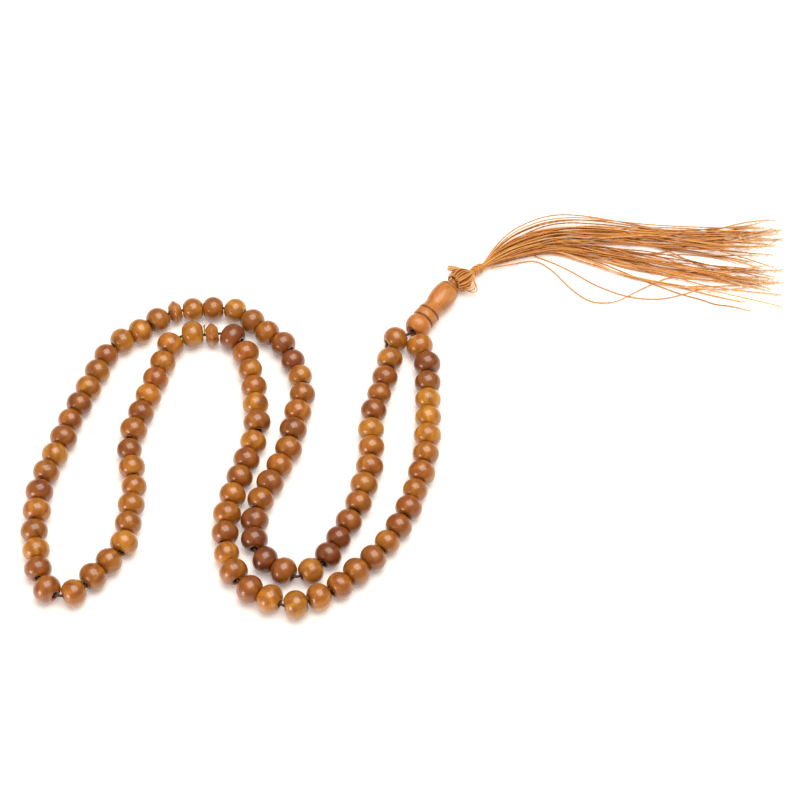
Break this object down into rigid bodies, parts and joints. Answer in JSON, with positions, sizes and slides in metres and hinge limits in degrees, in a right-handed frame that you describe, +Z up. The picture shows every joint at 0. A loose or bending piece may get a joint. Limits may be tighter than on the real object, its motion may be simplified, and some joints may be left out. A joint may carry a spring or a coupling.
{
  "type": "prayer beads",
  "caption": "Misbaha prayer beads: turned wooden beads on a closed cord, parted by slim discs, with a long leader bead and a thread tassel, lying flat in an S fold.",
  "frame": {"origin": "bottom centre of the overall bounding box, on the surface the strand lies on", "axes": "+X along the longest extent towards the tassel's tip, +Y across the folds on the surface, +Z up"},
  "size_m": [0.2288, 0.1484, 0.0084],
  "materials": {
    "bead_wood": "glossy lacquer, warm brown turned wood",
    "disc_wood": "glossy lacquer, lighter turned wood",
    "leader_wood": "satin lacquer, orange-brown turned wood",
    "cord": "thin twisted dark brown cord",
    "tassel_thread": "shiny golden-orange twisted rayon thread"
  },
  "bodies": {
    "strand": {"loop_cord": "cord", "cord_splice_knot": "cord"},
    "leader_cord": {"leader_cord": "cord", "end_knot": "tassel_thread"},
    "leader_bead": {"leader_bead": "leader_wood"},
    "tassel": {"tassel_head": "tassel_thread", "tassel_binding": "tassel_thread"},
    "skirt": {"tassel_skirt": "tassel_thread", "loose_thread_1": "tassel_thread", "loose_thread_2": "tassel_thread"},
    "disc_1": {"separator_disc_1": "disc_wood"},
    "disc_2": {"separator_disc_2": "disc_wood"},
    "first_beads_01": {"first_beads_01": "bead_wood"},
    "first_beads_02": {"first_beads_02": "bead_wood"},
    "first_beads_03": {"first_beads_03": "bead_wood"},
    "first_beads_04": {"first_beads_04": "bead_wood"},
    "first_beads_05": {"first_beads_05": "bead_wood"},
    "first_beads_06": {"first_beads_06": "bead_wood"},
    "first_beads_07": {"first_beads_07": "bead_wood"},
    "first_beads_08": {"first_beads_08": "bead_wood"},
    "first_beads_09": {"first_beads_09": "bead_wood"},
    "first_beads_10": {"first_beads_10": "bead_wood"},
    "first_beads_11": {"first_beads_11": "bead_wood"},
    "first_beads_12": {"first_beads_12": "bead_wood"},
    "first_beads_13": {"first_beads_13": "bead_wood"},
    "first_beads_14": {"first_beads_14": "bead_wood"},
    "first_beads_15": {"first_beads_15": "bead_wood"},
    "first_beads_16": {"first_beads_16": "bead_wood"},
    "second_beads_01": {"second_beads_01": "bead_wood"},
    "second_beads_02": {"second_beads_02": "bead_wood"},
    "second_beads_03": {"second_beads_03": "bead_wood"},
    "second_beads_04": {"second_beads_04": "bead_wood"},
    "second_beads_05": {"second_beads_05": "bead_wood"},
    "second_beads_06": {"second_beads_06": "bead_wood"},
    "second_beads_07": {"second_beads_07": "bead_wood"},
    "second_beads_08": {"second_beads_08": "bead_wood"},
    "second_beads_09": {"second_beads_09": "bead_wood"},
    "second_beads_10": {"second_beads_10": "bead_wood"},
    "second_beads_11": {"second_beads_11": "bead_wood"},
    "second_beads_12": {"second_beads_12": "bead_wood"},
    "second_beads_13": {"second_beads_13": "bead_wood"},
    "second_beads_14": {"second_beads_14": "bead_wood"},
    "second_beads_15": {"second_beads_15": "bead_wood"},
    "third_beads_01": {"third_beads_01": "bead_wood"},
    "third_beads_02": {"third_beads_02": "bead_wood"},
    "third_beads_03": {"third_beads_03": "bead_wood"},
    "third_beads_04": {"third_beads_04": "bead_wood"},
    "third_beads_05": {"third_beads_05": "bead_wood"},
    "third_beads_06": {"third_beads_06": "bead_wood"},
    "third_beads_07": {"third_beads_07": "bead_wood"},
    "third_beads_08": {"third_beads_08": "bead_wood"},
    "third_beads_09": {"third_beads_09": "bead_wood"},
    "third_beads_10": {"third_beads_10": "bead_wood"},
    "third_beads_11": {"third_beads_11": "bead_wood"},
    "third_beads_12": {"third_beads_12": "bead_wood"},
    "third_beads_13": {"third_beads_13": "bead_wood"},
    "third_beads_14": {"third_beads_14": "bead_wood"},
    "third_beads_15": {"third_beads_15": "bead_wood"},
    "third_beads_16": {"third_beads_16": "bead_wood"},
    "third_beads_17": {"third_beads_17": "bead_wood"}
  },
  "joints": [
    {"name": "skirt_lift", "type": "hinge", "parent": "tassel", "child": "skirt", "pos_m": [0.0217, 0.05468, 0.00236], "axis": [0.6705, -0.7419, 0], "range_deg": [0, 70]},
    {"name": "tassel_swing", "type": "hinge", "parent": "leader_cord", "child": "tassel", "pos_m": [0.01181, 0.04608, 0.0039], "axis": [0, 0, 1], "range_deg": [-30, 30]},
    {"name": "leader_swing", "type": "hinge", "parent": "strand", "child": "leader_cord", "pos_m": [-0.0011, 0.0268, 0.0039], "axis": [0, 0, 1], "range_deg": [-8, 8]},
    {"name": "leader_turn", "type": "hinge", "parent": "leader_cord", "child": "leader_bead", "pos_m": [-0.0011, 0.0268, 0.0039], "axis": [0.5563, 0.831, 0], "continuous": true},
    {"name": "disc_1_turn", "type": "hinge", "parent": "strand", "child": "disc_1", "pos_m": [-0.06273, 0.02593, 0.00375], "axis": [-0.9913, -0.1317, 0], "continuous": true},
    {"name": "disc_2_turn", "type": "hinge", "parent": "strand", "child": "disc_2", "pos_m": [-0.07458, 0.03478, 0.00375], "axis": [0.9561, 0.293, 0], "continuous": true},
    {"name": "turn_first_beads_01", "type": "hinge", "parent": "strand", "child": "first_beads_01", "pos_m": [0.00104, 0.02126, 0.00415], "axis": [0.4206, -0.9072, 0.0085], "continuous": true},
    {"name": "turn_first_beads_02", "type": "hinge", "parent": "strand", "child": "first_beads_02", "pos_m": [0.00328, 0.01455, 0.00415], "axis": [0.1693, -0.9856, 0.0001], "continuous": true},
    {"name": "turn_first_beads_03", "type": "hinge", "parent": "strand", "child": "first_beads_03", "pos_m": [0.00339, 0.00119, 0.00398], "axis": [0.0042, -1, 0], "continuous": true},
    {"name": "turn_first_beads_04", "type": "hinge", "parent": "strand", "child": "first_beads_04", "pos_m": [0.00291, -0.01524, 0.00415], "axis": [-0.0879, -0.9961, 0], "continuous": true},
    {"name": "turn_first_beads_05", "type": "hinge", "parent": "strand", "child": "first_beads_05", "pos_m": [-0.00054, -0.03145, 0.00415], "axis": [-0.2986, -0.9544, 0], "continuous": true},
    {"name": "turn_first_beads_06", "type": "hinge", "parent": "strand", "child": "first_beads_06", "pos_m": [-0.00699, -0.04656, 0.00398], "axis": [-0.5198, -0.8543, 0], "continuous": true},
    {"name": "turn_first_beads_07", "type": "hinge", "parent": "strand", "child": "first_beads_07", "pos_m": [-0.01739, -0.05939, 0.00415], "axis": [-0.7167, -0.6974, 0], "continuous": true},
    {"name": "turn_first_beads_08", "type": "hinge", "parent": "strand", "child": "first_beads_08", "pos_m": [-0.02796, -0.06772, 0.00398], "axis": [-0.8878, -0.4602, 0], "continuous": true},
    {"name": "turn_first_beads_09", "type": "hinge", "parent": "strand", "child": "first_beads_09", "pos_m": [-0.03445, -0.07033, 0.00415], "axis": [-0.9747, -0.2235, 0], "continuous": true},
    {"name": "turn_first_beads_10", "type": "hinge", "parent": "strand", "child": "first_beads_10", "pos_m": [-0.04476, -0.06682, 0.00415], "axis": [-0.8826, 0.4701, 0], "continuous": true},
    {"name": "turn_first_beads_11", "type": "hinge", "parent": "strand", "child": "first_beads_11", "pos_m": [-0.05363, -0.05646, 0.00415], "axis": [-0.3507, 0.9365, 0], "continuous": true},
    {"name": "turn_first_beads_12", "type": "hinge", "parent": "strand", "child": "first_beads_12", "pos_m": [-0.05539, -0.04309, 0.00415], "axis": [0.0423, 0.9991, 0], "continuous": true},
    {"name": "turn_first_beads_13", "type": "hinge", "parent": "strand", "child": "first_beads_13", "pos_m": [-0.05124, -0.02367, 0.00398], "axis": [0.2749, 0.9615, 0], "continuous": true},
    {"name": "turn_first_beads_14", "type": "hinge", "parent": "strand", "child": "first_beads_14", "pos_m": [-0.04839, -0.00074, 0.00415], "axis": [-0.1044, 0.9945, 0], "continuous": true},
    {"name": "turn_first_beads_15", "type": "hinge", "parent": "strand", "child": "first_beads_15", "pos_m": [-0.05132, 0.01546, 0.00415], "axis": [-0.2495, 0.9684, 0], "continuous": true},
    {"name": "turn_first_beads_16", "type": "hinge", "parent": "strand", "child": "first_beads_16", "pos_m": [-0.05637, 0.02479, 0.00415], "axis": [-0.8265, 0.5629, 0], "continuous": true},
    {"name": "turn_second_beads_01", "type": "hinge", "parent": "strand", "child": "second_beads_01", "pos_m": [-0.06871, 0.02583, 0.00415], "axis": [-0.9984, -0.0565, 0], "continuous": true},
    {"name": "turn_second_beads_02", "type": "hinge", "parent": "strand", "child": "second_beads_02", "pos_m": [-0.07529, 0.02167, 0.00415], "axis": [-0.4502, -0.8929, 0], "continuous": true},
    {"name": "turn_second_beads_03", "type": "hinge", "parent": "strand", "child": "second_beads_03", "pos_m": [-0.08078, 0.00249, 0.00415], "axis": [-0.2767, -0.961, 0], "continuous": true},
    {"name": "turn_second_beads_04", "type": "hinge", "parent": "strand", "child": "second_beads_04", "pos_m": [-0.08458, -0.02028, 0.00398], "axis": [0.1842, -0.9829, 0], "continuous": true},
    {"name": "turn_second_beads_05", "type": "hinge", "parent": "strand", "child": "second_beads_05", "pos_m": [-0.08331, -0.03658, 0.00398], "axis": [-0.0656, -0.9978, 0], "continuous": true},
    {"name": "turn_second_beads_06", "type": "hinge", "parent": "strand", "child": "second_beads_06", "pos_m": [-0.08445, -0.0498, 0.00415], "axis": [-0.2431, -0.97, 0], "continuous": true},
    {"name": "turn_second_beads_07", "type": "hinge", "parent": "strand", "child": "second_beads_07", "pos_m": [-0.09046, -0.05849, 0.00415], "axis": [-0.6303, -0.7763, 0], "continuous": true},
    {"name": "turn_second_beads_08", "type": "hinge", "parent": "strand", "child": "second_beads_08", "pos_m": [-0.09759, -0.06626, 0.00398], "axis": [-0.9007, -0.4345, 0], "continuous": true},
    {"name": "turn_second_beads_09", "type": "hinge", "parent": "strand", "child": "second_beads_09", "pos_m": [-0.10524, -0.06513, 0.00415], "axis": [-0.749, 0.6626, 0], "continuous": true},
    {"name": "turn_second_beads_10", "type": "hinge", "parent": "strand", "child": "second_beads_10", "pos_m": [-0.10959, -0.05198, 0.00398], "axis": [-0.1741, 0.9847, 0], "continuous": true},
    {"name": "turn_second_beads_11", "type": "hinge", "parent": "strand", "child": "second_beads_11", "pos_m": [-0.1105, -0.03536, 0.00415], "axis": [0.0208, 0.9998, 0], "continuous": true},
    {"name": "turn_second_beads_12", "type": "hinge", "parent": "strand", "child": "second_beads_12", "pos_m": [-0.10702, -0.01892, 0.00415], "axis": [0.3083, 0.9513, 0], "continuous": true},
    {"name": "turn_second_beads_13", "type": "hinge", "parent": "strand", "child": "second_beads_13", "pos_m": [-0.09909, 0.00573, 0.00398], "axis": [0.3473, 0.9378, 0], "continuous": true},
    {"name": "turn_second_beads_14", "type": "hinge", "parent": "strand", "child": "second_beads_14", "pos_m": [-0.08748, 0.02529, 0.00398], "axis": [0.8232, 0.5677, 0], "continuous": true},
    {"name": "turn_second_beads_15", "type": "hinge", "parent": "strand", "child": "second_beads_15", "pos_m": [-0.07964, 0.03151, 0.00398], "axis": [0.721, 0.693, 0], "continuous": true},
    {"name": "turn_third_beads_01", "type": "hinge", "parent": "strand", "child": "third_beads_01", "pos_m": [-0.06599, 0.03601, 0.00372], "axis": [0.9976, 0.0695, 0], "continuous": true},
    {"name": "turn_third_beads_02", "type": "hinge", "parent": "strand", "child": "third_beads_02", "pos_m": [-0.05604, 0.03559, 0.00372], "axis": [0.9568, -0.2906, 0], "continuous": true},
    {"name": "turn_third_beads_03", "type": "hinge", "parent": "strand", "child": "third_beads_03", "pos_m": [-0.04816, 0.0288, 0.00398], "axis": [0.727, -0.6866, 0], "continuous": true},
    {"name": "turn_third_beads_04", "type": "hinge", "parent": "strand", "child": "third_beads_04", "pos_m": [-0.04076, 0.02226, 0.00398], "axis": [0.6755, -0.7373, 0], "continuous": true},
    {"name": "turn_third_beads_05", "type": "hinge", "parent": "strand", "child": "third_beads_05", "pos_m": [-0.03646, 0.0131, 0.00372], "axis": [0.3706, -0.9288, 0], "continuous": true},
    {"name": "turn_third_beads_06", "type": "hinge", "parent": "strand", "child": "third_beads_06", "pos_m": [-0.03561, -0.00343, 0.00415], "axis": [-0.1845, -0.9828, 0], "continuous": true},
    {"name": "turn_third_beads_07", "type": "hinge", "parent": "strand", "child": "third_beads_07", "pos_m": [-0.04178, -0.02585, 0.00415], "axis": [-0.3884, -0.9215, 0], "continuous": true},
    {"name": "turn_third_beads_08", "type": "hinge", "parent": "strand", "child": "third_beads_08", "pos_m": [-0.04702, -0.04524, 0.00415], "axis": [0.0278, -0.9996, 0], "continuous": true},
    {"name": "turn_third_beads_09", "type": "hinge", "parent": "strand", "child": "third_beads_09", "pos_m": [-0.04362, -0.05532, 0.00398], "axis": [0.8316, -0.5554, 0], "continuous": true},
    {"name": "turn_third_beads_10", "type": "hinge", "parent": "strand", "child": "third_beads_10", "pos_m": [-0.03825, -0.05927, 0.00415], "axis": [0.7961, -0.6051, 0], "continuous": true},
    {"name": "turn_third_beads_11", "type": "hinge", "parent": "strand", "child": "third_beads_11", "pos_m": [-0.03048, -0.05908, 0.00398], "axis": [0.8452, 0.5345, 0], "continuous": true},
    {"name": "turn_third_beads_12", "type": "hinge", "parent": "strand", "child": "third_beads_12", "pos_m": [-0.02271, -0.048, 0.00398], "axis": [0.45, 0.893, 0], "continuous": true},
    {"name": "turn_third_beads_13", "type": "hinge", "parent": "strand", "child": "third_beads_13", "pos_m": [-0.01549, -0.02957, 0.00415], "axis": [0.2403, 0.9707, 0], "continuous": true},
    {"name": "turn_third_beads_14", "type": "hinge", "parent": "strand", "child": "third_beads_14", "pos_m": [-0.01354, -0.01297, 0.00398], "axis": [-0.0261, 0.9997, 0], "continuous": true},
    {"name": "turn_third_beads_15", "type": "hinge", "parent": "strand", "child": "third_beads_15", "pos_m": [-0.01122, 0.00337, 0.00398], "axis": [0.2594, 0.9658, 0], "continuous": true},
    {"name": "turn_third_beads_16", "type": "hinge", "parent": "strand", "child": "third_beads_16", "pos_m": [-0.00814, 0.01637, 0.00398], "axis": [-0.0177, 0.9998, 0], "continuous": true},
    {"name": "turn_third_beads_17", "type": "hinge", "parent": "strand", "child": "third_beads_17", "pos_m": [-0.00635, 0.02409, 0.00398], "axis": [0.8735, 0.4868, -0.0082], "continuous": true}
  ]
}
